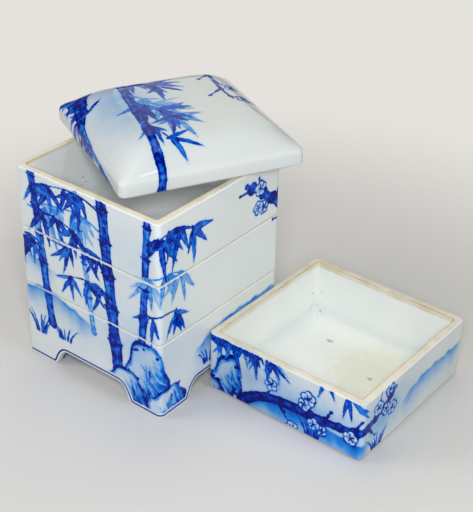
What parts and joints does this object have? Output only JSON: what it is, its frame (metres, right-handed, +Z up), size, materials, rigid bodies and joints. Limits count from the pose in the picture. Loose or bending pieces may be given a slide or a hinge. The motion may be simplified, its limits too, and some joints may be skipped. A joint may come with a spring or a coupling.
{
  "type": "porcelain stacking food box set",
  "caption": "Square porcelain stacking food box: a footed base tray, plain nesting trays, one set down beside the stack, and a domed lid resting askew on the top rim.",
  "frame": {"origin": "middle of the whole set's box, on the surface it stands on", "axes": "+Z up, +X from the stack towards the tray set down beside it, -Y the side of the stack with nothing in front of it"},
  "size_m": [0.3256, 0.2078, 0.2177],
  "materials": {
    "glazed_porcelain": "gloss glaze, pale blue-white with underglaze blue brushwork and bare cream rims"
  },
  "bodies": {
    "base_tier": {"base_tier": "glazed_porcelain"},
    "middle_tier": {"middle_tier": "glazed_porcelain"},
    "upper_tier": {"upper_tier": "glazed_porcelain"},
    "lid": {"lid": "glazed_porcelain"},
    "loose_tier": {"loose_tier": "glazed_porcelain"}
  },
  "joints": [
    {"name": "middle_tier_lift", "type": "slide", "parent": "base_tier", "child": "middle_tier", "axis": [0, 0, 1], "range_m": [0, 0.12]},
    {"name": "upper_tier_lift", "type": "slide", "parent": "middle_tier", "child": "upper_tier", "axis": [0, 0, 1], "range_m": [0, 0.12]},
    {"name": "lid_lift", "type": "slide", "parent": "upper_tier", "child": "lid", "axis": [0, 0, 1], "range_m": [0, 0.12]},
    {"name": "loose_tier_lift", "type": "slide", "parent": "base_tier", "child": "loose_tier", "axis": [0, 0, 1], "range_m": [0, 0.1]}
  ]
}
